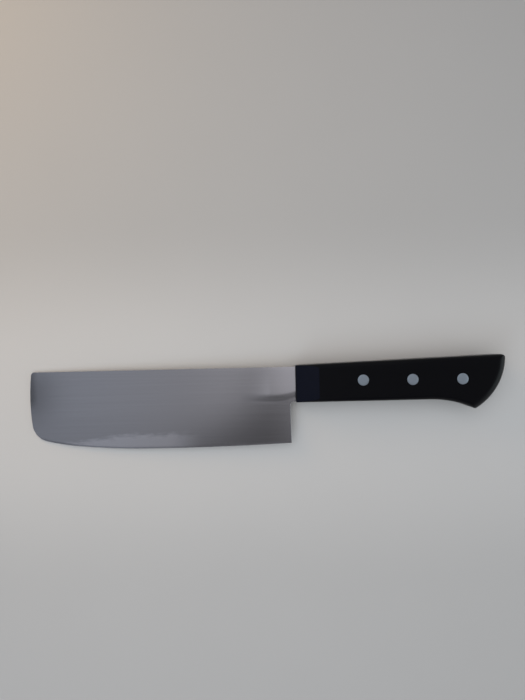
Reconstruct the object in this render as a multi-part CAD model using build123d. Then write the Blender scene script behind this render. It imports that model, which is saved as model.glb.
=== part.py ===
from build123d import *
import math
import os

# A nakiri kitchen knife: a full-tang steel blade, two handle scales and three two-piece rivets.
# Millimetres. While it is modelled, X runs from the front end of the blade to the butt,
# Y is zero along the spine and falls towards the edge, and Z is zero in the middle of the steel.
# A setback is measured from the front end of the blade, a depth from the spine.

# Side outline of the blade
blade_length = 165.0            # front end to heel
blade_depth = 49.4              # spine to the lowest point of the edge
heel_rise = 2.2                 # the edge rises this much from there to the heel
heel_lean = 0.3                 # the heel line leans this far forward on its way up
neck_length = 3.1               # heel to the front of the handle
neck_radius = 2.0               # inside corner between the heel and the neck
nose_radius = 136.0             # shallow curve of the blunt front end
nose_middle_depth = 17.2        # where that curve stands furthest forward
spine_corner_radius = 2.2       # between front end and spine
edge_corner_radius = 11.8       # between front end and edge
edge_low_setback = 75.5         # lowest point of the edge
edge_front_radius = 464.0       # edge ahead of its lowest point
edge_sweep_setback = 30.0       # where the edge starts to sweep up
edge_sweep_radius = 150.0       # that upward sweep
edge_sweep_degrees = 17.0       # its turn, enough to pass the front end

# Thickness of the blade, as half of the whole, and its grind
stock_half = 1.0                # tang, and the flat beside the handle
tip_spine_half = 0.7            # spine at the front end
shoulder_half = 0.2             # just behind the sharpened bevel
edge_half = 0.03                # the sharpened edge itself
bevel_degrees = 13.0            # sharpened bevel, to one side
bevel_height = 1.4              # how far up the sharpening cut reaches
bevel_corner_degrees = 35.0     # how far the bevel follows the front corner
bevel_runout = 12.0             # straight run by which it leaves that corner
flat_lead = 16.1                # the flat has its full height this far ahead of the handle
flat_rise_length = 17.4         # over which it rises out of the ground face
shoulder_top_depth = 16.5       # upper border of the rounded shoulder under the flat
shoulder_level_width = 2.3      # over this the shoulder hardly falls
shoulder_fall_width = 2.1       # and over this it falls to the crease
crease_turn_length = 13.1       # over which the crease turns up towards the handle
crease_turn_rise = 2.4          # how far it has turned up at the handle
crease_turn_steps = 4           # sections along that turn
ease_length = 65.0              # over which the corner of the spine is eased, up to the full flat
ease_width = 1.2                # its width on the side of the blade
ease_drop = 0.3                 # its depth at the spine

# Side outline of the handle
handle_length = 126.1           # front of the handle to the furthest point of the butt
handle_top_front = 1.1          # the handle stands this far over the spine at its front
handle_top_rise = 4.15          # and its top line rises this much more towards the butt
handle_front_depth = 21.6       # lower line of the handle, at its front
grip_depth = 21.3               # the same line, where the hook begins
hook_length = 45.3              # the hook begins this far ahead of the butt
hook_radius = 59.4              # hollow curve down to the hook
hook_degrees = 35.0             # its turn, enough to pass the butt
butt_radius = 36.9              # curve of the butt
butt_centre_rise = 4.4          # centre of that curve over the spine

# Handle scales
handle_thick = 18.0             # over both scales
scale_round = 2.7               # rounding all along the outer edges
top_corner_extra = 0.8          # by this the corner of top line and butt is rounder
hook_corner_extra = 1.1         # and the corner of hook and butt
facet_length = 14.2             # sloping facet at the front of each scale
facet_drop = 2.0                # how far that facet falls towards the blade
front_round = 0.8               # rounding round the front face
butt_ease_width = 5.2           # softer rounding of the butt, on the outer face
butt_ease_depth = 4.4           # and down the butt
butt_ease_bulge = 1.2           # how far it bulges over a plain chamfer
butt_ease_above = 20.0          # the cut for it starts this many degrees over the butt's centre
butt_ease_below = 80.0          # and ends this many degrees under it

# Rivets: a barrel put in from the right-hand side and a post driven into it from the left
rivet_names = ("front", "middle", "rear")
front_rivet_margin = 40.65      # first rivet behind the front of the handle
rear_rivet_margin = 26.65       # last rivet ahead of the butt
rivet_depth = 8.66              # first rivet
rivet_depth_step = 0.21         # each next one lies this much lower
post_diameter = 3.4
barrel_wall = 0.78
head_overhang = 0.85            # a head stands out all round the barrel by this
head_thick = 2.0
post_gap = 0.6                  # end of the post to the floor of the barrel
barrel_gap = 0.6                # end of the barrel to the post's head
fit_clearance = 0.02            # all round each head, barrel and post

# How far cutting shapes reach past what they cut
overrun = 3.0

# What follows from the sizes above
handle_setback = blade_length + neck_length
butt_setback = handle_setback + handle_length
hook_setback = butt_setback - hook_length
flat_full_setback = handle_setback - flat_lead
flat_start_setback = flat_full_setback - flat_rise_length
ease_start_setback = flat_full_setback - ease_length
crease_turn_setback = handle_setback - crease_turn_length
heel_depth = blade_depth - heel_rise
handle_half = handle_thick / 2
seat_height = handle_half - head_thick      # middle of the steel to the seat of a rivet head
barrel_bore = post_diameter + 2 * fit_clearance
barrel_diameter = barrel_bore + 2 * barrel_wall
head_diameter = barrel_diameter + 2 * head_overhang


def share_between(value, start, end):
    """0 at start, 1 at end, in proportion between them and level outside."""
    return min(max((value - start) / (end - start), 0), 1)


def edge_arcs():
    """The tangent arcs of the edge, from its lowest point to the heel, ahead, and up."""
    low = (edge_low_setback, -blade_depth)
    rear = TangentArc(low, (blade_length, -heel_depth), tangent=(1, 0))
    turn = math.degrees(math.asin((edge_low_setback - edge_sweep_setback) / edge_front_radius))
    front = JernArc(low, (-1, 0), edge_front_radius, -turn)
    sweep_up = JernArc(front @ 1, front % 1, edge_sweep_radius, -edge_sweep_degrees)
    return rear, front, sweep_up


def blade_outline():
    """Side of the blade, from its front end to the front of the handle."""
    rear, front, sweep_up = edge_arcs()
    ahead = sweep_up @ 1
    rest = Polyline(
        ahead,
        (ahead.X, 0),
        (handle_setback, 0),
        (handle_setback, -handle_front_depth),
        (blade_length - heel_lean, -handle_front_depth),
        rear @ 1,
    )
    nose = Pos(nose_radius, -nose_middle_depth) * Circle(nose_radius)
    outline = make_face(rear.edges() + front.edges() + sweep_up.edges() + rest.edges()) & nose
    for corner, radius in (
        ((0, 0), spine_corner_radius),
        ((0, -blade_depth), edge_corner_radius),
        ((blade_length, -handle_front_depth), neck_radius),
    ):
        outline = fillet(outline.vertices().sort_by_distance(corner)[0], radius)
    return outline


def grind_section(setback):
    """Cross-section of the ground steel at one setback, taller than the blade."""
    taper = min(setback / flat_start_setback, 1)
    spine_half = tip_spine_half + (stock_half - tip_spine_half) * taper
    fall = (spine_half - shoulder_half) / blade_depth
    turned = crease_turn_rise * share_between(setback, crease_turn_setback, handle_setback) ** 2
    top = shoulder_top_depth - turned
    bend = top + shoulder_level_width
    crease = bend + shoulder_fall_width
    raised = share_between(setback, flat_start_setback, flat_full_setback)
    flat_fall = fall * (1 - raised)
    eased = ease_drop * share_between(setback, ease_start_setback, flat_full_setback)
    foot = blade_depth + overrun
    back = Polyline(
        (overrun, spine_half - eased),
        (0, spine_half - eased),
        (-ease_width, spine_half - flat_fall * ease_width),
        (-top, spine_half - flat_fall * top),
    )
    shoulder = Bezier(
        back @ 1,
        (-bend, spine_half - flat_fall * bend),
        (-crease, spine_half - fall * crease),
    )
    face = Line(shoulder @ 1, (-foot, spine_half - fall * foot))
    upper = back.edges() + shoulder.edges() + face.edges()
    lower = [mirror(edge, Plane.XZ) for edge in upper]
    ends = [
        Line((overrun, spine_half - eased), (overrun, eased - spine_half)),
        Line((-foot, spine_half - fall * foot), (-foot, fall * foot - spine_half)),
    ]
    return Plane.YZ.offset(setback) * make_face([*upper, *lower, *ends])


def ground_steel():
    """Everything inside the two ground sides: tapers, flat, shoulder and eased spine."""
    turn_step = crease_turn_length / crease_turn_steps
    setbacks = {-overrun, ease_start_setback, flat_start_setback, flat_full_setback, handle_setback}
    setbacks |= {crease_turn_setback + turn_step * step for step in range(crease_turn_steps)}
    return loft([grind_section(setback) for setback in sorted(setbacks)], ruled=True)


def bevel_path(outline):
    """Line of the sharpened edge: past the heel, along the edge, and off the front corner."""
    rear, front, sweep_up = edge_arcs()
    heel_run = Line(rear @ 1 + (rear % 1) * overrun, rear @ 1)
    corner_arc = outline.edges().sort_by_distance((0, -blade_depth))[0]
    corner_start = Vector(corner_arc.vertices().sort_by(Axis.X)[-1])
    swept = TangentArc(front @ 1, corner_start, tangent=front % 1)
    corner = JernArc(swept @ 1, swept % 1, edge_corner_radius, -bevel_corner_degrees)
    runout = Line(corner @ 1, corner @ 1 + (corner % 1) * bevel_runout)
    return Wire([*heel_run.edges(), *rear.edges(), *front.edges(), *swept.edges(),
                 *corner.edges(), *runout.edges()])


def bevel_cutter(outline):
    """What sharpening takes off one side, swept along the edge."""
    path = bevel_path(outline)
    rise = math.tan(math.radians(bevel_degrees))
    top = edge_half + bevel_height * rise
    start = Plane(path @ 0, x_dir=(0, 0, 1), z_dir=path % 0)
    profile = make_face(Polyline(
        (edge_half - overrun * rise, -overrun),
        (top, bevel_height),
        (top, -overrun),
        close=True,
    ))
    return sweep(start * profile, path=path)


def rivet_centres():
    """Places of the rivets, seen from the side, at one pitch between the two margins."""
    row = handle_length - front_rivet_margin - rear_rivet_margin
    pitch = row / (len(rivet_names) - 1)
    first = handle_setback + front_rivet_margin
    return [
        (first + pitch * place, -(rivet_depth + rivet_depth_step * place))
        for place in range(len(rivet_names))
    ]


def pin(diameter, low, high):
    """A round pin across the knife, from one height to another."""
    return Pos(0, 0, low) * Cylinder(
        diameter / 2, high - low, align=(Align.CENTER, Align.CENTER, Align.MIN))


def blade():
    """Blade and full tang, one piece of steel."""
    outline = blade_outline()
    thick = stock_half + overrun
    steel = extrude(outline, thick, both=True) & ground_steel()
    cutter = bevel_cutter(outline)
    steel = steel - cutter - mirror(cutter, Plane.XY)
    steel += extrude(handle_outline(), stock_half, both=True)
    bore = pin(barrel_diameter + 2 * fit_clearance, -thick, thick)
    return steel - [Pos(*centre) * bore for centre in rivet_centres()]


def handle_outline():
    """Side of the handle, the same for the tang and both scales."""
    end = butt_setback + overrun
    slope = handle_top_rise / (butt_setback - handle_setback)
    top_end = (end, handle_top_front + slope * (end - handle_setback))
    grip = Line((handle_setback, -handle_front_depth), (hook_setback, -grip_depth))
    hook = JernArc(grip @ 1, grip % 1, hook_radius, -hook_degrees)
    rest = Polyline(
        hook @ 1,
        (end, (hook @ 1).Y),
        top_end,
        (handle_setback, handle_top_front),
        grip @ 0,
    )
    outline = make_face(grip.edges() + hook.edges() + rest.edges())
    butt = Pos(butt_setback - butt_radius, butt_centre_rise)
    behind = Rectangle(2 * butt_radius, 2 * (butt_radius + blade_depth),
                       align=(Align.MIN, Align.CENTER))
    outline -= butt * (behind - Circle(butt_radius))
    outline = fillet(outline.vertices().sort_by(Axis.X)[-1], scale_round + top_corner_extra)
    return fillet(outline.vertices().sort_by(Axis.Y)[0], scale_round + hook_corner_extra)


def facet_cutter():
    """What the sloping facet takes off the front of a scale."""
    slope = facet_drop / facet_length
    rear = handle_setback + facet_length
    front = handle_setback - overrun
    profile = make_face(Polyline(
        (rear, handle_half),
        (front, handle_half - facet_drop - overrun * slope),
        (front, handle_half + overrun),
        (rear, handle_half + overrun),
        close=True,
    ))
    return extrude(Plane.XZ * profile, blade_depth, both=True)


def butt_cutter():
    """What the softer rounding takes off the butt of a scale, turned about the butt's centre."""
    inner, outer = butt_radius - butt_ease_width, butt_radius + overrun
    foot, top = handle_half - butt_ease_depth, handle_half + overrun
    rounding = SagittaArc((inner, handle_half), (butt_radius, foot), butt_ease_bulge)
    rest = Polyline(rounding @ 1, (outer, foot), (outer, top), (inner, top), rounding @ 0)
    profile = Plane.XZ * make_face(rounding.edges() + rest.edges())
    turned = revolve(profile, Axis.Z, butt_ease_above + butt_ease_below)
    return Pos(butt_setback - butt_radius, butt_centre_rise) * Rot(0, 0, -butt_ease_below) * turned


def scale():
    """Handle scale of the left-hand side, flat on the tang and flat outside."""
    body = Pos(0, 0, stock_half) * extrude(handle_outline(), handle_half - stock_half)
    rim = body.faces().sort_by(Axis.Z)[-1].edges().sort_by(Axis.X)[1:]
    body = fillet(rim, scale_round) - facet_cutter() - butt_cutter()
    front = body.faces().sort_by(Axis.X)[0].edges().sort_by(Axis.Z)[1:]
    body = fillet(front, front_round)
    through = pin(barrel_diameter + 2 * fit_clearance, 0, handle_thick)
    counterbore = pin(head_diameter + 2 * fit_clearance, seat_height, handle_thick)
    return body - [Pos(*centre) * (through + counterbore) for centre in rivet_centres()]


def rivet_post():
    """Left-hand half of a rivet: a flat head with a solid post."""
    head = pin(head_diameter, seat_height, handle_half)
    return head + pin(post_diameter, post_gap - seat_height, seat_height)


def rivet_barrel():
    """Right-hand half of a rivet: a flat head with a hollow barrel."""
    head = pin(head_diameter, -handle_half, -seat_height)
    barrel = pin(barrel_diameter, -seat_height, seat_height - barrel_gap)
    return head + barrel - pin(barrel_bore, -seat_height, seat_height)


def knife():
    """Every piece under its own name, in the frame described at the top."""
    left = scale()
    pieces = {
        "blade": blade(),
        "left_handle_scale": left,
        "right_handle_scale": mirror(left, Plane.XY),
    }
    for name, centre in zip(rivet_names, rivet_centres()):
        pieces[name + "_rivet_post"] = Pos(*centre) * rivet_post()
        pieces[name + "_rivet_barrel"] = Pos(*centre) * rivet_barrel()
    return pieces


def main():
    """Puts the knife on its right-hand side, centred over the origin, and writes each piece."""
    pieces = knife()
    box = Compound(children=[Part(piece.wrapped) for piece in pieces.values()]).bounding_box()
    place = Pos(-box.center().X, -box.center().Y, -box.min.Z)
    os.makedirs("parts", exist_ok=True)
    for name, piece in pieces.items():
        export_step(place * piece, "parts/" + name + ".step")
    print("overall size", box.size)
    print("front end and spine lie at", box.min.X - box.center().X, -box.center().Y)


main()
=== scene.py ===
import math

import bmesh
import bpy
from mathutils import Matrix, Vector
from mathutils.geometry import delaunay_2d_cdt
from mathutils.kdtree import KDTree


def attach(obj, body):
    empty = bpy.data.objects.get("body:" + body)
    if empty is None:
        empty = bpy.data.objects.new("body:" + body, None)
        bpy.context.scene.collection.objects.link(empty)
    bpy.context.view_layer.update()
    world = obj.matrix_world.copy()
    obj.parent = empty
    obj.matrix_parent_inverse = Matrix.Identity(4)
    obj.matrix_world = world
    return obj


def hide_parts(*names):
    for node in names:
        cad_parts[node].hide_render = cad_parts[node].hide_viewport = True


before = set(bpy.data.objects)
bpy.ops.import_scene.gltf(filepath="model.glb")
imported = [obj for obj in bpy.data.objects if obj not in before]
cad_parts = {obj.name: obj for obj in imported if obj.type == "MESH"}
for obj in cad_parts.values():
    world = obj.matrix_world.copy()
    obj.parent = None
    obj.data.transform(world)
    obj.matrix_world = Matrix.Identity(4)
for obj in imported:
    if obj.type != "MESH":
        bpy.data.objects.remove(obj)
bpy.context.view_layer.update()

# Pieces are drawn in millimetres: x from the blade's front end, y from its spine, z from mid-steel
drawnFrom = dict(frontEnd=-147.0424, spine=22.1354, middle=9.0)


def toFrame(x, y, z):
    d = drawnFrom
    return Vector((x + d["frontEnd"], y + d["spine"], z + d["middle"])) / 1000


def newPiece(name, mesh, material):
    piece = bpy.data.objects.new(name, mesh)
    bpy.context.scene.collection.objects.link(piece)
    mesh.materials.clear()
    mesh.materials.append(material)
    return piece


def finishPiece(piece, slotName, *replacedNodes):
    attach(piece, "root")
    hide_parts(*replacedNodes)


def smoothMesh(bm, name, sharpOver):
    # a mesh shaded smooth, but for the edges where it turns by more than sharpOver degrees
    mesh = bpy.data.meshes.new(name)
    bm.to_mesh(mesh)
    bm.free()
    mesh.shade_smooth()
    mesh.set_sharp_from_angle(angle=math.radians(sharpOver))
    return mesh


def flatFacesFirst(piece):
    # large faces decide the shading, so that a narrow rounding beside them doesn't bend it
    weighting = piece.modifiers.new("flatFacesFirst", "WEIGHTED_NORMAL")
    weighting.keep_sharp = True


# Helpers for node trees; an input may be a number, a vector or another node's socket

def addNode(tree, kind, inputs=None, **settings):
    made = tree.nodes.new(kind)
    for name, value in settings.items():
        setattr(made, name, value)
    for name, value in (inputs or {}).items():
        if isinstance(value, bpy.types.NodeSocket):
            tree.links.new(value, made.inputs[name])
        else:
            made.inputs[name].default_value = value
    return made


def calc(tree, operation, first, second=0.0):
    return addNode(tree, "ShaderNodeMath", {0: first, 1: second}, operation=operation).outputs[0]


def product(tree, first, *others):
    for other in others:
        first = calc(tree, "MULTIPLY", first, other)
    return first


def total(tree, first, *others):
    for other in others:
        first = calc(tree, "ADD", first, other)
    return first


def centred(tree, pattern, amount):
    # a pattern from 0 to 1, made to swing to both sides of 0
    return product(tree, calc(tree, "SUBTRACT", pattern, 0.5), amount)


def fade(tree, value, start, end, low=0.0, high=1.0):
    # low before start, high after end, smooth between them; start may be the larger one
    if start > end:
        start, end, low, high = end, start, high, low
    inputs = {"Value": value, "From Min": start, "From Max": end, "To Min": low, "To Max": high}
    made = addNode(tree, "ShaderNodeMapRange", inputs, interpolation_type="SMOOTHSTEP")
    return made.outputs["Result"]


def mixColours(tree, factor, first, second):
    mixed = addNode(tree, "ShaderNodeMix", {"Factor": factor}, data_type="RGBA")
    for socket, colour in ((mixed.inputs[6], first), (mixed.inputs[7], second)):
        if isinstance(colour, bpy.types.NodeSocket):
            tree.links.new(colour, socket)
        else:
            socket.default_value = (*colour, 1)
    return mixed.outputs[2]


def noise(tree, vector, stretch, detail=2.0, roughness=0.5):
    spread = addNode(tree, "ShaderNodeMapping", {"Vector": vector, "Scale": stretch}).outputs[0]
    inputs = {"Vector": spread, "Scale": 1.0, "Detail": detail, "Roughness": roughness}
    return addNode(tree, "ShaderNodeTexNoise", inputs).outputs["Fac"]


def splitVector(tree, vector):
    parts = addNode(tree, "ShaderNodeSeparateXYZ", {"Vector": vector}).outputs
    return parts["X"], parts["Y"], parts["Z"]


def drawnPlace(tree):
    # Object coordinates, turned into the drawing's millimetres
    place = addNode(tree, "ShaderNodeTexCoord").outputs["Object"]
    offset = (-drawnFrom["frontEnd"], -drawnFrom["spine"], -drawnFrom["middle"])
    inputs = {"Vector": place, "Location": offset, "Scale": (1000, 1000, 1000)}
    return addNode(tree, "ShaderNodeMapping", inputs).outputs[0]


def newMaterial(name):
    made = bpy.data.materials.new(name)
    made.use_nodes = True
    return made, made.node_tree, made.node_tree.nodes["Principled BSDF"]


def paint(tree, shader, colour, tone):
    # the colour, made brighter or darker by the tone
    scaled = addNode(tree, "ShaderNodeVectorMath", {0: colour, "Scale": tone}, operation="SCALE")
    tree.links.new(scaled.outputs[0], shader.inputs["Base Color"])


def emboss(tree, shader, height, depth):
    bump = addNode(tree, "ShaderNodeBump", {"Height": height, "Strength": 1.0, "Distance": depth})
    tree.links.new(bump.outputs[0], shader.inputs["Normal"])


# Blade, with the tang that runs through the handle
bladeShape = dict(
    length=165.0, lowest=(75.5, -49.4), heelLean=0.3, heelDepth=47.2,
    noseRadius=136.0, noseDepth=17.2, spineCorner=2.2, edgeCorner=11.8,
    frontRadius=464.0, sweepStart=30.0, sweepRadius=150.0,
    neckRadius=2.0, handleFront=168.1, handleTop=1.1, handleRise=4.15, handleLength=126.1,
    handleDepth=21.6, gripDepth=21.3, hookStart=248.9, hookRadius=59.4,
    buttRadius=36.9, buttRise=4.4, topCorner=3.5, hookCorner=3.8,
)
grind = dict(
    half=1.0, tipHalf=0.7, shoulderHalf=0.2, edgeHalf=0.03,         # halves of the thickness
    bevelDegrees=13.0, bevelTurn=35.0, bevelRunout=12.0,
    flatStart=134.6, flatFull=152.0, shoulderTop=16.5, shoulderBend=18.8, crease=20.9,
    turnStart=155.0, turnEnd=168.1, turnRise=2.4,
    easeStart=87.0, easeWidth=1.2, easeDrop=0.3,
)
bladeMesh = dict(
    rim=0.14,                           # rounding of the spine, heel and front end
    heelEnd=(-0.002, 0.3),              # that rounding ends this far from the heel's point
    outlineStep=0.8,
    hold=0.035,                         # rows this far either side of a crisp line
    guard=0.10,                         # a row this far inside the rim keeps the shading flat
    easeRow=(1.2, 67),                  # step and count of the points along the eased spine
    shoulderRow=(0.9, 38),              # and along the shoulder
    rowsShort=0.2,                      # both stop this far ahead of the handle
    shoulderRows=(0.0, 0.2, 0.4, 0.6, 0.8, 1.0),    # shares of the way down to the crease
    underCrease=0.6,                    # and a last row this far under it
    tangRows=(-0.03, 0.05, 0.2),        # round the step to the tang's full thickness
    tangStart=0.1,                      # the step, behind the handle's front
    mergeWithin=0.0005,
    gridStep=1.15,                      # points that fill the faces
    gridRows=0.86,                      # their rows lie closer, by this share
    gridStart=-0.5,
    gridEnd=(295, -50),
    gridClear=0.5,                      # they keep this clear of all rows
    tangThinning=3,                     # under the scales only each third point of each third row
    tangFrom=1.0,                       # from this far behind the handle's front
    tangClear=1.0,
    bevelZone=(20, -20),                # the bevel lies ahead of this x or under this y
    boreRadius=2.52,
    boreSides=32,
    weldWithin=2e-6,
    sharpOver=50,
)
bladeFinish = dict(
    colour=(0.452, 0.449, 0.474),
    roughness=0.11,
    anisotropy=0.25,
    fineBrush=dict(stretch=(0.022, 4.2, 0.02), detail=4.0, roughness=0.6),      # lines along x
    fineTone=0.10,
    fineRough=0.07,
    wideBrush=dict(stretch=(0.011, 0.8, 0.01), detail=3.0),
    wideTone=0.12,
    wideDepth=0.6,                      # a share of the fine lines' depth
    brushDepth=0.0000035,
    flatHighlightTone=0.58,                      # painted highlight: the flat by the handle is painted brighter
    flatStart=(139.0, 168.0),
    flatEnd=(192.0, 170.0),
    flatBorder=-17.5,
    flatSoft=0.8,
    shoulderRough=0.085,                # the shoulder under it is less polished where it begins
    shoulderTop=(1.2, -0.2),            # from the border of the flat
    shoulderCrease=(-5.6, -4.2),
    shoulderStart=(133.0, 141.0),
    shoulderEnd=(166.0, 146.0),
    frontTone=-0.32,                    # painted dark reflection along the front end, down to its corner
    frontShadeWidth=(5.5, 0.5),
    frontShadeHeight=(-25.0, -17.0),
    haze=dict(stretch=(0.16, 0.5, 0.2), detail=5.0, roughness=0.62),
    hazeTone=0.46,                      # cloudy band left by honing, along the edge
    hazeRough=0.07,
    hazeTop=(-45.1, -40.5),             # its upper border climbs and wanders
    hazeClimb=(24.0, 66.0),
    hazeWander=9.0,
    hazeSoft=(-1.8, 2.6),
    hazeStart=(16.0, 32.0),
    hazeEnd=(112.0, 86.0),
)
rivetRow = dict(first=(208.75, -8.66), pitch=29.4, drop=0.21, count=3)


def share(value, start, end):
    return min(max((value - start) / (end - start), 0), 1)


def quadratic(start, bend, end, t):
    return start * (1 - t) ** 2 + 2 * t * (1 - t) * bend + t * t * end


def flatHighlightAndShoulder(tree, x, y):
    # where the flat with its painted highlight lies, and the shoulder under it; both turn up at the
    # handle
    look, g = bladeFinish, grind
    turned = calc(tree, "SUBTRACT", x, g["turnStart"])
    turned = calc(tree, "DIVIDE", turned, g["turnEnd"] - g["turnStart"])
    turned = calc(tree, "MINIMUM", calc(tree, "MAXIMUM", turned, 0.0), 1.0)
    turned = product(tree, turned, turned, g["turnRise"])
    above = calc(tree, "SUBTRACT", calc(tree, "SUBTRACT", y, look["flatBorder"]), turned)
    flatHighlight = product(tree, fade(tree, above, -look["flatSoft"], look["flatSoft"]),
                   fade(tree, x, *look["flatStart"]), fade(tree, x, *look["flatEnd"]))
    shoulder = product(tree, fade(tree, above, *look["shoulderTop"]),
                       fade(tree, above, *look["shoulderCrease"]),
                       fade(tree, x, *look["shoulderStart"]), fade(tree, x, *look["shoulderEnd"]))
    return flatHighlight, shoulder


def cloudyBand(tree, place, x, y):
    look = bladeFinish
    wander = centred(tree, noise(tree, place, **look["haze"]), look["hazeWander"])
    border = total(tree, wander, fade(tree, x, *look["hazeClimb"], *look["hazeTop"]))
    under = fade(tree, calc(tree, "SUBTRACT", border, y), *look["hazeSoft"])
    return product(tree, under, fade(tree, x, *look["hazeStart"]), fade(tree, x, *look["hazeEnd"]))


def satinSteel():
    look = bladeFinish
    made, tree, shader = newMaterial("satinSteel")
    place = drawnPlace(tree)
    x, y, _ = splitVector(tree, place)
    fine = noise(tree, place, **look["fineBrush"])
    wide = noise(tree, place, **look["wideBrush"])
    # the flat carries a painted highlight, a brighter colour for the light it reflects
    flatHighlight, shoulder = flatHighlightAndShoulder(tree, x, y)
    haze = cloudyBand(tree, place, x, y)
    # a painted dark reflection along the front end
    front = product(tree, fade(tree, x, *look["frontShadeWidth"]), fade(tree, y, *look["frontShadeHeight"]))
    tone = total(tree, centred(tree, fine, look["fineTone"]), centred(tree, wide, look["wideTone"]),
                 product(tree, haze, look["hazeTone"]), product(tree, flatHighlight, look["flatHighlightTone"]),
                 product(tree, front, look["frontTone"]), 1.0)
    paint(tree, shader, look["colour"], tone)
    rough = total(tree, product(tree, fine, look["fineRough"]),
                  product(tree, haze, look["hazeRough"]),
                  product(tree, shoulder, look["shoulderRough"]), look["roughness"])
    tree.links.new(rough, shader.inputs["Roughness"])
    height = total(tree, fine, product(tree, wide, look["wideDepth"]))
    emboss(tree, shader, height, look["brushDepth"])
    across = addNode(tree, "ShaderNodeCombineXYZ", {"X": 0.0, "Y": 1.0, "Z": 0.0})
    tree.links.new(across.outputs[0], shader.inputs["Tangent"])
    shader.inputs["Metallic"].default_value = 1.0
    shader.inputs["Anisotropic"].default_value = look["anisotropy"]
    return made


def circlesMeet(centreA, radiusA, centreB, radiusB):
    # the two meeting points
    a, b = Vector(centreA), Vector(centreB)
    gap = (b - a).length
    along = (radiusA ** 2 - radiusB ** 2 + gap ** 2) / (2 * gap)
    unit = (b - a) / gap
    aside = Vector((-unit.y, unit.x)) * math.sqrt(radiusA ** 2 - along ** 2)
    return a + unit * along + aside, a + unit * along - aside


def onCircle(centre, towards, radius):
    centre = Vector(centre)
    return centre + (Vector(towards) - centre).normalized() * radius


def arcRun(centre, start, end, step):
    # points from start up to, but without, end, by the shorter way round
    centre, start, end = Vector(centre), Vector(start), Vector(end)
    one, two = start - centre, end - centre
    angle = math.atan2(one.x * two.y - one.y * two.x, one.dot(two))
    count = max(2, math.ceil(abs(angle) * one.length / step))
    return [centre + Matrix.Rotation(angle * k / count, 2) @ one for k in range(count)]


def lineRun(start, end, step):
    start, end = Vector(start), Vector(end)
    count = max(1, math.ceil((end - start).length / step))
    return [start.lerp(end, k / count) for k in range(count)]


def handleOutline(step):
    # from the top of the handle's front, over the butt and the hook, to the bottom of its front
    s = bladeShape
    front, radius = s["handleFront"], s["buttRadius"]
    butt = Vector((front + s["handleLength"] - radius, s["buttRise"]))
    # centre of the top corner: on a line under the top line and on a circle inside the butt's
    slope, size = s["handleRise"] / s["handleLength"], s["topCorner"]
    height = s["handleTop"] - size * math.sqrt(1 + slope ** 2) - slope * front - butt.y
    a, b = 1 + slope ** 2, 2 * (slope * height - butt.x)
    c = butt.x ** 2 + height ** 2 - (radius - size) ** 2
    topX = (-b + math.sqrt(b * b - 4 * a * c)) / (2 * a)
    top = Vector((topX, slope * topX + height + butt.y))
    topOnLine = top + Vector((-slope, 1)).normalized() * size
    topOnButt = onCircle(butt, top, radius)
    # the hollow of the hook leaves the lower line smoothly, and a corner joins it to the butt
    grip = Vector((s["hookStart"], -s["gripDepth"]))
    slope = math.atan((s["handleDepth"] - s["gripDepth"]) / (s["hookStart"] - front))
    hook = grip + Vector((math.sin(slope), -math.cos(slope))) * s["hookRadius"]
    size = s["hookCorner"]
    corner = max(circlesMeet(hook, s["hookRadius"] + size, butt, radius - size), key=lambda p: p.x)
    cornerOnButt = onCircle(butt, corner, radius)
    cornerOnHook = onCircle(hook, corner, s["hookRadius"])
    return (lineRun((front, s["handleTop"]), topOnLine, 2 * step)
            + arcRun(top, topOnLine, topOnButt, step)
            + arcRun(butt, topOnButt, cornerOnButt, 2 * step)
            + arcRun(corner, cornerOnButt, cornerOnHook, step)
            + arcRun(hook, cornerOnHook, grip, 2 * step)
            + lineRun(grip, (front, -s["handleDepth"]), 2 * step))


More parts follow.
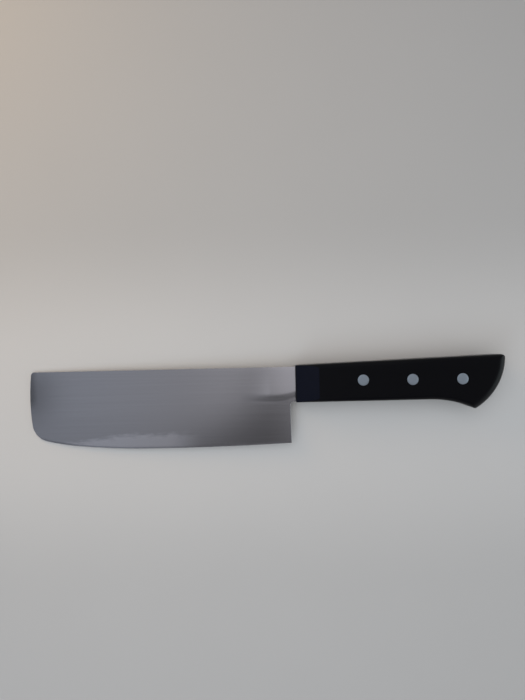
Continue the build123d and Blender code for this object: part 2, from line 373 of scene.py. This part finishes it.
def bladeOutline(step):
    # clockwise round blade and tang: its points, the rounding of the rim at each,
    # and the line that the bevel follows
    s = bladeShape
    nose, noseRadius = (s["noseRadius"], -s["noseDepth"]), s["noseRadius"]
    size = s["spineCorner"]
    reach = math.sqrt((noseRadius - size) ** 2 - (nose[1] + size) ** 2)
    spineCorner = Vector((nose[0] - reach, -size))
    spineOnNose = onCircle(nose, spineCorner, noseRadius)

    # the edge: an arc behind its lowest point, one ahead of it, a sweep up and the front corner
    low, heel = Vector(s["lowest"]), Vector((s["length"], -s["heelDepth"]))
    rise = heel.y - low.y
    rear = low + Vector((0, ((heel.x - low.x) ** 2 + rise ** 2) / (2 * rise)))
    front = Vector((low.x, low.y + s["frontRadius"]))
    turn = math.asin((low.x - s["sweepStart"]) / s["frontRadius"])
    down = Vector((-math.sin(turn), -math.cos(turn)))
    sweepPoint = front + down * s["frontRadius"]
    sweep = sweepPoint - down * s["sweepRadius"]
    size = s["edgeCorner"]
    corner = min(circlesMeet(nose, noseRadius - size, sweep, s["sweepRadius"] - size),
                 key=lambda p: p.y)
    cornerOnNose = onCircle(nose, corner, noseRadius)
    cornerOnSweep = onCircle(sweep, corner, s["sweepRadius"])
    bevelTurn = Matrix.Rotation(-math.radians(grind["bevelTurn"]), 2)
    bevelEnd = corner + bevelTurn @ (cornerOnSweep - corner)
    edge = (arcRun(rear, heel, low, step)
            + arcRun(front, low, sweepPoint, step)
            + arcRun(sweep, sweepPoint, cornerOnSweep, step)
            + arcRun(corner, cornerOnSweep, bevelEnd, step / 2))

    # the neck: a rounded inside corner between the heel and the handle
    neckY, size, handle = -s["handleDepth"], s["neckRadius"], s["handleFront"]
    lean = s["heelLean"] * size / (s["heelDepth"] - s["handleDepth"])
    heelTop = Vector((s["length"] - s["heelLean"] + lean, neckY - size))
    neck = heelTop + Vector((size, 0))
    before = (arcRun(spineCorner, spineOnNose, (spineCorner.x, 0), step / 3)
              + lineRun((spineCorner.x, 0), (handle, 0), step)
              + lineRun((handle, 0), (handle, s["handleTop"]), step)
              + handleOutline(step)
              + lineRun((handle, neckY), (neck.x, neckY), step)
              + arcRun(neck, (neck.x, neckY), heelTop, step / 2)
              + lineRun(heelTop, heel + Vector(bladeMesh["heelEnd"]), step))
    after = (arcRun(corner, bevelEnd, cornerOnNose, step / 2)
             + arcRun(nose, cornerOnNose, spineOnNose, step))

    # the bevel follows the edge and runs straight off the front corner
    away = (edge[-1] - corner).normalized()
    ahead = Vector((away.y, -away.x))
    runout = [bevelEnd + ahead * k * step for k in range(math.ceil(grind["bevelRunout"] / step))]
    rim = bladeMesh["rim"]
    sizes = [rim] * len(before) + [0.0] * len(edge) + [rim] * len(after)
    return before + edge + after, sizes, edge + runout


def groundHalf(x, y):
    # half the thickness left by the grind, without the sharpened bevel
    g = grind
    taper = min(max(x, 0) / g["flatStart"], 1)
    spineHalf = g["tipHalf"] + (g["half"] - g["tipHalf"]) * taper
    fall = (spineHalf - g["shoulderHalf"]) / -bladeShape["lowest"][1]
    turned = g["turnRise"] * share(x, g["turnStart"], g["turnEnd"]) ** 2
    top, bend, crease = (g[name] - turned for name in ("shoulderTop", "shoulderBend", "crease"))
    flatFall = fall * (1 - share(x, g["flatStart"], g["flatFull"]) ** 2)
    depth = max(-y, 0)
    if depth < g["easeWidth"]:
        near = spineHalf - g["easeDrop"] * share(x, g["easeStart"], g["flatFull"])
        return near + (spineHalf - flatFall * g["easeWidth"] - near) * depth / g["easeWidth"]
    if depth < top:
        return spineHalf - flatFall * depth
    if depth < crease:
        # the rounded shoulder, a curve that starts level with the flat and ends at the crease
        a, b, c = top - 2 * bend + crease, 2 * (bend - top), top - depth
        t = (-b + math.sqrt(max(b * b - 4 * a * c, 0))) / (2 * a) if abs(a) > 1e-9 else -c / b
        return quadratic(spineHalf - flatFall * top, spineHalf - flatFall * bend,
                         spineHalf - fall * crease, t)
    return spineHalf - fall * depth


def bevelDistance(line):
    # makes a function that tells how far a point lies inside the line of the bevel
    tree = KDTree(len(line))
    for index, point in enumerate(line):
        tree.insert(point.to_3d(), index)
    tree.balance()
    slack = 0.02                        # past the ends of a step of the line, as a share of it

    def measure(point):
        point = Vector(point[:2])
        _, index, _ = tree.find(point.to_3d())
        best = -math.inf
        for k in (index - 1, index):
            if 0 <= k < len(line) - 1:
                along = line[k + 1] - line[k]
                inward = Vector((along.y, -along.x)).normalized()
                part = (point - line[k]).dot(along) / along.length_squared
                if -slack <= part <= 1 + slack or best == -math.inf:
                    best = max(best, (point - line[k]).dot(inward))
        return max(best, 0.0)
    return measure


def steelHalf(point, measure):
    x, y = point
    if x > bladeShape["handleFront"] + bladeMesh["tangStart"]:
        return grind["half"]
    half = groundHalf(x, y)
    if x < bladeMesh["bevelZone"][0] or y < bladeMesh["bevelZone"][1]:
        slope = math.tan(math.radians(grind["bevelDegrees"]))
        half = min(half, grind["edgeHalf"] + measure(point) * slope)
    return half


def inwardNormals(points):
    # vectors into the steel at each point of a clockwise loop, longer at a corner
    made = []
    for k, point in enumerate(points):
        before, after = points[k - 1], points[(k + 1) % len(points)]
        one, two = (point - before).normalized(), (after - point).normalized()
        mean = Vector((one.y + two.y, -one.x - two.x))
        made.append(mean.normalized() / max(math.sqrt((1 + one.dot(two)) / 2), 0.5))
    return made


def stations(start, step, count):
    # places along the blade, up to the front of the handle
    places = [start + step * k for k in range(count)]
    return [x for x in places if x < bladeShape["handleFront"] - bladeMesh["rowsShort"]]


def featureRows(bevelLine):
    # rows of points that the mesh has to follow: eased spine, shoulder, crease, bevel and tang
    g, hold = grind, bladeMesh["hold"]
    rows = [[Vector((x, -g["easeWidth"])) for x in stations(g["easeStart"], *bladeMesh["easeRow"])]]
    depths = [quadratic(g["shoulderTop"], g["shoulderBend"], g["crease"], way)
              for way in bladeMesh["shoulderRows"]]
    for depth in depths + [g["crease"] + bladeMesh["underCrease"]]:
        rows.append([])
        for x in stations(g["flatStart"], *bladeMesh["shoulderRow"]):
            turned = g["turnRise"] * share(x, g["turnStart"], g["turnEnd"]) ** 2
            rows[-1].append(Vector((x, turned - depth)))
    slope = math.tan(math.radians(g["bevelDegrees"]))
    normals = inwardNormals(bevelLine)
    normals[0], normals[-1] = normals[1], normals[-2]
    for off in (-hold, hold):
        row = []
        for point, normal in zip(bevelLine, normals):
            wide = 1.0
            for _ in range(4):          # closes in on the width at which bevel and grind meet
                wide = (groundHalf(*(point + normal * wide)) - g["edgeHalf"]) / slope
            row.append(point + normal * (wide + off))
        rows.append(row[1:])
    for ahead in bladeMesh["tangRows"]:
        x, depth = bladeShape["handleFront"] + ahead, bladeShape["handleDepth"]
        rows.append([Vector((x, bladeMesh["gridStart"] - k)) for k in range(int(depth))])
    return rows


def insideLoop(point, loop):
    inside = False
    x, y = point
    for one, two in zip(loop, loop[1:] + loop[:1]):
        if (one.y > y) != (two.y > y):
            crossing = (two.x - one.x) * (y - one.y) / (two.y - one.y) + one.x
            inside = inside != (x < crossing)
    return inside


def boreLoops():
    # the holes that the rivets pass through
    sides, spoke = bladeMesh["boreSides"], Vector((bladeMesh["boreRadius"], 0))
    turns = [Matrix.Rotation(-math.tau * j / sides, 2) for j in range(sides)]
    loops = []
    for k in range(rivetRow["count"]):
        centre = Vector(rivetRow["first"]) + Vector((rivetRow["pitch"], -rivetRow["drop"])) * k
        loops.append([centre + turn @ spoke for turn in turns])
    return loops


def fillPoints(kept):
    # a staggered grid that stays clear of the rows
    m = bladeMesh
    step, thin = m["gridStep"], m["tangThinning"]
    made, row, y = [], 0, m["gridStart"]
    while y > m["gridEnd"][1]:
        x = (row % 2) * step / 2
        while x < m["gridEnd"][0]:
            onTang = x > bladeShape["handleFront"] + m["tangFrom"]
            if not onTang or (row % thin == 0 and round(x / step) % thin == 0):
                _, _, gap = kept.find(Vector((x, y, 0)))
                if gap > (m["tangClear"] if onTang else m["gridClear"]):
                    made.append(Vector((x, y)))
            x += step
        y -= step * m["gridRows"]
        row += 1
    return made


def steelDrawing(inner, normals, bores, bevelLine):
    # the points of the side view, with the edges that its faces have to keep
    points, edges = [], []

    def addRow(row, closed=False):
        start = len(points)
        points.extend(row)
        edges.extend((start + k, start + k + 1) for k in range(len(row) - 1))
        if closed:
            edges.append((start + len(row) - 1, start))

    addRow(inner, closed=True)
    guard = bladeMesh["guard"]
    addRow([point + normal * guard for point, normal in zip(inner, normals)], closed=True)
    for bore in bores:
        addRow(bore, closed=True)
    for row in featureRows(bevelLine):
        run = []
        for point in row:
            if insideLoop(point, inner):
                run.append(point)
            elif run:
                addRow(run)
                run = []
        if run:
            addRow(run)
    kept = KDTree(len(points))
    for index, point in enumerate(points):
        kept.insert(point.to_3d(), index)
    kept.balance()
    return points + fillPoints(kept), edges


def rimStrips(bm, loop, inner, sizes, halves, upper, lower):
    # two rounded rows on each side and the wall between them, from points that follow the loop
    rows = []
    root = math.sqrt(0.5)
    for side, first in ((1, upper), (-1, lower)):
        rows.append(first)
        for reach, drop in ((root, 1 - root), (1.0, 1.0)):
            rows.append([])
            for outer, point, size, half in zip(loop, inner, sizes, halves):
                spot = point.lerp(outer, reach)
                height = max(half - size * drop, grind["edgeHalf"])
                rows[-1].append(bm.verts.new(toFrame(spot.x, spot.y, side * height)))
    order = [rows[k] for k in (0, 1, 2, 5, 4, 3)]
    return list(zip(order, order[1:]))


def steelMesh():
    loop, sizes, bevelLine = bladeOutline(bladeMesh["outlineStep"])
    normals = inwardNormals(loop)
    count = len(loop)
    sizes = [min(sizes[k - 1], sizes[k], sizes[(k + 1) % count]) for k in range(count)]
    inner = [point + normal * size for point, normal, size in zip(loop, normals, sizes)]
    bores = boreLoops()
    points, edges = steelDrawing(inner, normals, bores, bevelLine)
    print("steel drawn with", len(points), "points")
    flatPoints, _, faces, origins, _, _ = delaunay_2d_cdt(
        points, edges, [], 1, bladeMesh["mergeWithin"], True)
    where = {source: index for index, sources in enumerate(origins) for source in sources}

    # the two ground sides
    bm = bmesh.new()
    measure = bevelDistance(bevelLine)
    halves = [steelHalf(point, measure) for point in flatPoints]
    upper = [bm.verts.new(toFrame(p.x, p.y, half)) for p, half in zip(flatPoints, halves)]
    lower = [bm.verts.new(toFrame(p.x, p.y, -half)) for p, half in zip(flatPoints, halves)]
    for face in faces:
        middle = sum((flatPoints[k] for k in face), Vector((0, 0))) / len(face)
        if insideLoop(middle, inner) and not any(insideLoop(middle, bore) for bore in bores):
            bm.faces.new([upper[k] for k in face])
            bm.faces.new([lower[k] for k in reversed(face)])

    # the rim and the walls of the bores, which join the two sides
    ids = [where[k] for k in range(count)]
    strips = rimStrips(bm, loop, inner, sizes, [halves[k] for k in ids],
                       [upper[k] for k in ids], [lower[k] for k in ids])
    start = 2 * count                   # the bores are drawn after the inner row and the guard row
    for bore in bores:
        ids = [where[start + k] for k in range(len(bore))]
        strips.append(([lower[k] for k in ids], [upper[k] for k in ids]))
        start += len(bore)
    for one, two in strips:
        for k in range(len(one)):
            after = (k + 1) % len(one)
            bm.faces.new((one[k], one[after], two[after], two[k]))

    bmesh.ops.remove_doubles(bm, verts=bm.verts, dist=bladeMesh["weldWithin"])
    bmesh.ops.dissolve_degenerate(bm, edges=bm.edges, dist=bladeMesh["weldWithin"] / 2)
    bmesh.ops.delete(bm, geom=[v for v in bm.verts if not v.link_faces], context="VERTS")
    bmesh.ops.recalc_face_normals(bm, faces=bm.faces)
    mesh = smoothMesh(bm, "bladeSteel", bladeMesh["sharpOver"])
    print("steel mesh has", len(mesh.polygons), "faces")
    return mesh


blade = newPiece("bladeSteel", steelMesh(), satinSteel())
flatFacesFirst(blade)
finishPiece(blade, "blade_steel", "blade")
print("blade made")


# Handle scales: welded copies of the solids, their flat faces joined up, their roundings smooth
scaleShape = dict(weldWithin=0.000002, flatWithin=0.6, sharpOver=26.0)
plasticFinish = dict(
    colour=(0.0008, 0.0009, 0.0017),
    facetReflectionColour=(0.0014, 0.0022, 0.0070),       # painted bluish reflection on the facet, a plane that falls to the blade
    facetEnd=182.3,
    facetFall=2.0 / 14.2,
    facetSoft=(0.04, 0.01),
    sideHeight=9.0,
    roughness=0.21,
    specular=0.16,
    grain=dict(stretch=(1 / 0.35, 1 / 0.35, 1 / 0.35)),         # grains of 0.35 mm
    grainDepth=0.000010,
    cloud=dict(stretch=(0.06, 0.09, 0.09), detail=4.0),
    rubbed=dict(stretch=(0.25, 1.6, 1.6), detail=5.0, roughness=0.65),
    plainTone=0.6,
    rubbedTone=0.9,
    rubbedRough=0.09,
)


def blackPlastic():
    look = plasticFinish
    made, tree, shader = newMaterial("blackPlastic")
    place = drawnPlace(tree)
    x, _, z = splitVector(tree, place)
    grain, cloud, rubbed = (noise(tree, place, **look[name])
                            for name in ("grain", "cloud", "rubbed"))
    plane = product(tree, calc(tree, "SUBTRACT", look["facetEnd"], x), look["facetFall"])
    raised = total(tree, plane, calc(tree, "ABSOLUTE", z))
    under = calc(tree, "SUBTRACT", look["sideHeight"], raised)
    facet = fade(tree, under, *look["facetSoft"])
    # the facet gets a painted bluish reflection in its colour
    colour = mixColours(tree, facet, look["colour"], look["facetReflectionColour"])
    tone = total(tree, look["plainTone"], product(tree, rubbed, look["rubbedTone"]))
    paint(tree, shader, colour, tone)
    rough = product(tree, total(tree, cloud, rubbed), look["rubbedRough"])
    tree.links.new(total(tree, rough, look["roughness"]), shader.inputs["Roughness"])
    emboss(tree, shader, grain, look["grainDepth"])
    shader.inputs["Specular IOR Level"].default_value = look["specular"]
    return made


def scaleMesh(node):
    bm = bmesh.new()
    bm.from_mesh(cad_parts[node].data)
    bmesh.ops.remove_doubles(bm, verts=bm.verts, dist=scaleShape["weldWithin"])
    bmesh.ops.dissolve_limit(bm, angle_limit=math.radians(scaleShape["flatWithin"]),
                             verts=bm.verts, edges=bm.edges)
    return smoothMesh(bm, node, scaleShape["sharpOver"])


plasticBlack = blackPlastic()
for side in ("left", "right"):
    node = side + "_handle_scale"
    scale = newPiece(side + "ScaleMoulding", scaleMesh(node), plasticBlack)
    flatFacesFirst(scale)
    finishPiece(scale, "handle_plastic", node)
print("handle scales made")


# Rivets: a post and a barrel turned as a pair, and three pairs set in a row
rivetShape = dict(
    seat=7.0, top=8.995, headRadius=3.34,
    softEdge=0.14, softBend=0.3,        # the bend of the edge, as a share of its width
    flatShare=0.6, crown=0.01,          # outside this share of its radius the head falls by the crown
    postRadius=1.7, postEnd=-6.4, barrelRadius=2.5, barrelEnd=6.4, boreRadius=1.72,
    sides=72, sharpOver=50, seed=7,
)
rivetFinish = dict(
    colour=(0.527, 0.613, 0.70),
    roughness=0.30,
    mottle=dict(stretch=(1 / 0.9, 1 / 0.9, 1 / 0.9), detail=4.0, roughness=0.7),    # 0.9 mm spots
    mottleTone=0.22,
    mottleRough=0.16,
    scratch=dict(stretch=(0.5, 9.0, 2.0), detail=3.0, roughness=0.6),
    scratchTone=0.2,
    scratchDepth=0.000004,
)


def rivetMetal():
    look = rivetFinish
    made, tree, shader = newMaterial("rivetMetal")
    place = drawnPlace(tree)
    mottle, scratch = (noise(tree, place, **look[name]) for name in ("mottle", "scratch"))
    tone = total(tree, centred(tree, mottle, look["mottleTone"]),
                 centred(tree, scratch, look["scratchTone"]), 1.0)
    paint(tree, shader, look["colour"], tone)
    rough = total(tree, product(tree, mottle, look["mottleRough"]), look["roughness"])
    tree.links.new(rough, shader.inputs["Roughness"])
    emboss(tree, shader, scratch, look["scratchDepth"])
    shader.inputs["Metallic"].default_value = 1.0
    return made


def turnProfile(bm, profile, sides):
    # turns a closed profile of (radius, height) about the z axis
    turns = [Matrix.Rotation(math.tau * k / sides, 3, "Z") for k in range(sides)]
    rings = []
    for radius, height in profile:
        spoke = Vector((radius, 0, height)) / 1000
        rings.append([bm.verts.new(turn @ spoke) for turn in (turns if radius else turns[:1])])
    for one, two in zip(rings, rings[1:]):
        for k in range(sides):
            after = (k + 1) % sides
            corners = (one[k % len(one)], one[after % len(one)],
                       two[after % len(two)], two[k % len(two)])
            corners = list(dict.fromkeys(corners))
            if len(corners) > 2:
                bm.faces.new(corners)


def rivetPair():
    r = rivetShape
    head, seat, top, soft = r["headRadius"], r["seat"], r["top"], r["softEdge"]
    cut = soft * r["softBend"]
    rim = [(head, seat), (head, top - soft), (head - cut, top - cut),
           (head - soft, top - r["crown"]), (head * r["flatShare"], top), (0, top)]
    post = [(0, r["postEnd"]), (r["postRadius"] - soft, r["postEnd"]),
            (r["postRadius"], r["postEnd"] + soft), (r["postRadius"], seat)] + rim
    barrel = [(radius, -height) for radius, height in reversed(rim)]
    barrel += [(r["barrelRadius"], -seat), (r["barrelRadius"], r["barrelEnd"]),
               (r["boreRadius"], r["barrelEnd"]), (r["boreRadius"], -seat), (0, -seat)]
    bm = bmesh.new()
    for profile in (post, barrel):
        turnProfile(bm, profile, r["sides"])
    bmesh.ops.recalc_face_normals(bm, faces=bm.faces)
    return smoothMesh(bm, "rivetPair", r["sharpOver"])


def rivetRowTree():
    # sets copies of one rivet along a row, each turned by its own angle
    tree = bpy.data.node_groups.new("rivetRow", "GeometryNodeTree")
    tree.is_modifier = True
    sockets = dict(Geometry="Geometry", Count="Int", First="Vector", Step="Vector", Seed="Int",
                   Finish="Material")
    for name, kind in sockets.items():
        tree.interface.new_socket(name, in_out="INPUT", socket_type="NodeSocket" + kind)
    tree.interface.new_socket("Geometry", in_out="OUTPUT", socket_type="NodeSocketGeometry")
    given = addNode(tree, "NodeGroupInput").outputs
    row = addNode(tree, "GeometryNodeMeshLine", {
        "Count": given["Count"], "Start Location": given["First"], "Offset": given["Step"]},
        mode="OFFSET")
    angle = addNode(tree, "FunctionNodeRandomValue", {
        2: 0.0, 3: math.tau, "Seed": given["Seed"]}, data_type="FLOAT")
    turn = addNode(tree, "ShaderNodeCombineXYZ", {"Z": angle.outputs[1]})
    placed = addNode(tree, "GeometryNodeInstanceOnPoints", {
        "Points": row.outputs[0], "Instance": given["Geometry"], "Rotation": turn.outputs[0]})
    real = addNode(tree, "GeometryNodeRealizeInstances", {"Geometry": placed.outputs[0]})
    painted = addNode(tree, "GeometryNodeSetMaterial", {
        "Geometry": real.outputs[0], "Material": given["Finish"]})
    addNode(tree, "NodeGroupOutput", {"Geometry": painted.outputs[0]})
    return tree


def setInputs(modifier, values):
    for item in modifier.node_group.interface.items_tree:
        if item.item_type == "SOCKET" and item.in_out == "INPUT" and item.name in values:
            modifier[item.identifier] = values[item.name]


def makeRivets(finish):
    r = rivetRow
    piece = newPiece("rivets", rivetPair(), finish)
    modifier = piece.modifiers.new("rivetRow", "NODES")
    modifier.node_group = rivetRowTree()
    setInputs(modifier, dict(
        Count=r["count"], First=toFrame(*r["first"], 0),
        Step=Vector((r["pitch"], -r["drop"], 0)) / 1000, Seed=rivetShape["seed"], Finish=finish))
    evaluated = piece.evaluated_get(bpy.context.evaluated_depsgraph_get())
    plain = bpy.data.meshes.new_from_object(evaluated)
    piece.modifiers.remove(modifier)
    piece.data = plain
    return piece


rivetNodes = [place + "_rivet_" + half
              for place in ("front", "middle", "rear") for half in ("post", "barrel")]
finishPiece(makeRivets(rivetMetal()), "rivet_steel", *rivetNodes)
print("rivets made")


# Floor: the knife lies on the front end of its blade and the rear end of its lower facet
floorSetup = dict(
    front=(0.0, -0.7), facet=(182.3, -9.0),     # (x, z) of those two places
    reach=1.6,
    colour=(0.50, 0.49, 0.485),
    roughness=0.7,
    specular=0.2,
    mottle=dict(stretch=(14, 14, 14), detail=3.0),
    mottleTone=0.03,
    plainTone=0.985,
    beside=(0.030, 0.120),                      # painted light: paler near the knife, a little darker further back and in front
    backTone=0.80,
    frontTone=0.88,
    far=(0.3, 0.9),                             # and painted light, paler where no lamp reaches
    farPaintedLight=1.6,
)
cameraSetup = dict(
    lens=27.02, sensor=36.0, nearest=0.01, furthest=20.0,
    ahead=147.97, aside=10.82, height=334.52, roll=-1.348,      # from the blade's front end
)


def floorAxes():
    (x1, z1), (x2, z2) = floorSetup["front"], floorSetup["facet"]
    along = Vector((x2 - x1, 0, z2 - z1)).normalized()
    across = Vector((0, 1, 0))
    return toFrame(x1, 0, z1), along, across, along.cross(across)


def paleFloor():
    look = floorSetup
    made, tree, shader = newMaterial("paleFloor")
    place = addNode(tree, "ShaderNodeTexCoord").outputs["Object"]
    _, y, _ = splitVector(tree, place)
    length = addNode(tree, "ShaderNodeVectorMath", {0: place}, operation="LENGTH")
    distance = length.outputs["Value"]
    near, away = look["beside"]
    mottle = product(tree, noise(tree, place, **look["mottle"]), look["mottleTone"])
    # painted light: the floor's tone falls off away from the knife and rises again far out
    tone = product(tree, total(tree, look["plainTone"], mottle),
                   fade(tree, y, near, away, 1.0, look["backTone"]),
                   fade(tree, y, -near, -away, 1.0, look["frontTone"]),
                   fade(tree, distance, *look["far"], 1.0, look["farPaintedLight"]))
    paint(tree, shader, look["colour"], tone)
    shader.inputs["Roughness"].default_value = look["roughness"]
    shader.inputs["Specular IOR Level"].default_value = look["specular"]
    return made


def makeFloor():
    start, along, across, _ = floorAxes()
    reach = floorSetup["reach"]
    middle = start + along * cameraSetup["ahead"] / 1000
    corners = [middle + along * reach * i + across * reach * j
               for i, j in ((-1, -1), (1, -1), (1, 1), (-1, 1))]
    mesh = bpy.data.meshes.new("floor")
    mesh.from_pydata(corners, [], [(0, 1, 2, 3)])
    made = paleFloor()
    newPiece("floor", mesh, made)


# Lamps: soft discs that all point at the rear of the blade
lampAim = (150, -15, 0)
lampSetup = (
    dict(name="leftLight", towards=(-0.75, 0.75, 0.50), distance=0.5, size=0.3,
         power=0.62, colour=(1.0, 0.62, 0.22)),
    dict(name="frontLight", towards=(-0.40, -0.62, 0.70), distance=1.0, size=0.5,
         power=1.4, colour=(0.80, 0.97, 1.10)),
    dict(name="ceilingLight", towards=(-0.07, 0.06, 1.0), distance=0.6, size=0.85,
         power=2.7, colour=(0.96, 0.99, 1.0)),
    dict(name="buttLight", towards=(0.94, -0.10, 0.34), distance=0.7, size=0.5,
         power=0.55, colour=(0.80, 0.97, 1.0), mirrored=True),      # its sheen rounds the butt
)


def makeLamps():
    for setup in lampSetup:
        light = bpy.data.lights.new(setup["name"], "AREA")
        light.shape, light.size = "DISK", setup["size"]
        light.energy, light.color = setup["power"], setup["colour"]
        lamp = bpy.data.objects.new(setup["name"], light)
        lamp.visible_glossy = setup.get("mirrored", False)      # the steel mirrors the room instead
        lamp.visible_camera = False
        bpy.context.scene.collection.objects.link(lamp)
        towards = Vector(setup["towards"]).normalized()
        lamp.location = toFrame(*lampAim) + towards * setup["distance"]
        lamp.rotation_mode = "QUATERNION"
        lamp.rotation_quaternion = towards.to_track_quat("Z", "Y")


# The room that the steel mirrors; slopes are sideways over upwards, 0 being straight up
roomLight = dict(
    bladeSky=(0.395, 0.42, 0.47),
    handleSky=(0.417, 0.41, 0.425),
    skyChange=(-0.5, 0.0),
    leftHorizon=(0.64, 0.61, 0.57),
    rightHorizon=(0.60, 0.64, 0.66),
    horizonChange=(-0.7, 0.9),
    horizonHeight=(0.45, 0.02),
    lowest=0.05,                        # slopes stop growing under this height
    patchHeight=(0.60, 0.80),           # the patches named below lie high up, around the camera
    lowTone=0.8,
)
shadePatch = dict(                      # the dark shape that lies over the rear of the blade
    tone=0.22, lean=0.6, leftBorder=(-0.052, -0.144), rightBorder=(0.052, -0.040),
    turnBelow=0.2, turn=0.8, frontTone=0.58, front=(-0.29, -0.215),
)
endPatch = dict(                        # and the one at its front end
    tone=0.05, side=(-0.448, -0.497), front=(-0.150, -0.118), back=(-0.05, -0.08),
)
skyPatches = dict(
    frontTone=0.82, front=(-0.175, -0.135),
    glowTone=0.16, glowLeft=(-0.20, -0.12), glowRight=(-0.04, -0.10),
    handleTone=0.62, handle=(0.06, 0.14),
    backTone=1.08, back=(0.2, 0.5),
)


def leftOver(tree, cover, tone):
    # how bright a dark patch leaves what it covers
    return calc(tree, "SUBTRACT", 1.0, product(tree, cover, 1 - tone))


def darkPatches(tree, x, y):
    patch = shadePatch
    slant = calc(tree, "SUBTRACT", y, product(tree, x, patch["lean"]))
    below = calc(tree, "MINIMUM", total(tree, y, patch["turnBelow"]), 0.0)
    side = total(tree, x, product(tree, below, patch["turn"]))
    shade = product(tree, fade(tree, slant, *patch["leftBorder"]),
                    fade(tree, side, *patch["rightBorder"]),
                    fade(tree, y, *patch["front"], patch["frontTone"], 1.0))
    end = product(tree, fade(tree, x, *endPatch["side"]), fade(tree, y, *endPatch["front"]),
                  fade(tree, y, *endPatch["back"]))
    return product(tree, leftOver(tree, shade, patch["tone"]),
                   leftOver(tree, end, endPatch["tone"]))


def skyTone(tree, x, y, height):
    patch = skyPatches
    glow = product(tree, fade(tree, x, *patch["glowLeft"]), fade(tree, x, *patch["glowRight"]))
    tone = product(tree, darkPatches(tree, x, y),
                   fade(tree, y, *patch["front"], patch["frontTone"], 1.0),
                   total(tree, 1.0, product(tree, glow, patch["glowTone"])),
                   fade(tree, x, *patch["handle"], 1.0, patch["handleTone"]),
                   fade(tree, y, *patch["back"], 1.0, patch["backTone"]))
    factor = fade(tree, height, *roomLight["patchHeight"])
    mixed = addNode(tree, "ShaderNodeMix", {
        "Factor": factor, 2: roomLight["lowTone"], 3: tone}, data_type="FLOAT")
    return mixed.outputs[0]


def makeWorld():
    look = roomLight
    world = bpy.data.worlds.new("softRoom")
    world.use_nodes = True
    tree = world.node_tree
    direction = addNode(tree, "ShaderNodeTexCoord").outputs["Generated"]
    sideways, forwards, height = splitVector(tree, direction)
    up = calc(tree, "MAXIMUM", height, look["lowest"])
    x, y = calc(tree, "DIVIDE", sideways, up), calc(tree, "DIVIDE", forwards, up)
    low = fade(tree, height, *look["horizonHeight"])
    sky = mixColours(tree, fade(tree, x, *look["skyChange"]), look["bladeSky"], look["handleSky"])
    horizon = mixColours(tree, fade(tree, sideways, *look["horizonChange"]),
                         look["leftHorizon"], look["rightHorizon"])
    strength = addNode(tree, "ShaderNodeMix", {
        "Factor": low, 2: skyTone(tree, x, y, height), 3: 1.0}, data_type="FLOAT")
    background = tree.nodes["Background"].inputs
    tree.links.new(mixColours(tree, low, sky, horizon), background["Color"])
    tree.links.new(strength.outputs[0], background["Strength"])
    bpy.context.scene.world = world


def makeCamera():
    start, along, across, up = floorAxes()
    setup = cameraSetup
    data = bpy.data.cameras.new("camera")
    data.lens, data.sensor_width = setup["lens"], setup["sensor"]
    data.clip_start, data.clip_end = setup["nearest"], setup["furthest"]
    camera = bpy.data.objects.new("camera", data)
    bpy.context.scene.collection.objects.link(camera)
    roll = math.radians(setup["roll"])
    right = along * math.cos(roll) + across * math.sin(roll)
    top = across * math.cos(roll) - along * math.sin(roll)
    offset = along * setup["ahead"] + across * setup["aside"] + up * setup["height"]
    turned = Matrix((right, top, up)).transposed().to_4x4()
    camera.matrix_world = Matrix.Translation(start + offset / 1000) @ turned
    bpy.context.scene.camera = camera


makeFloor()
makeLamps()
makeWorld()
makeCamera()
bpy.context.scene.view_settings.view_transform = "Standard"
print("floor, light and camera set")
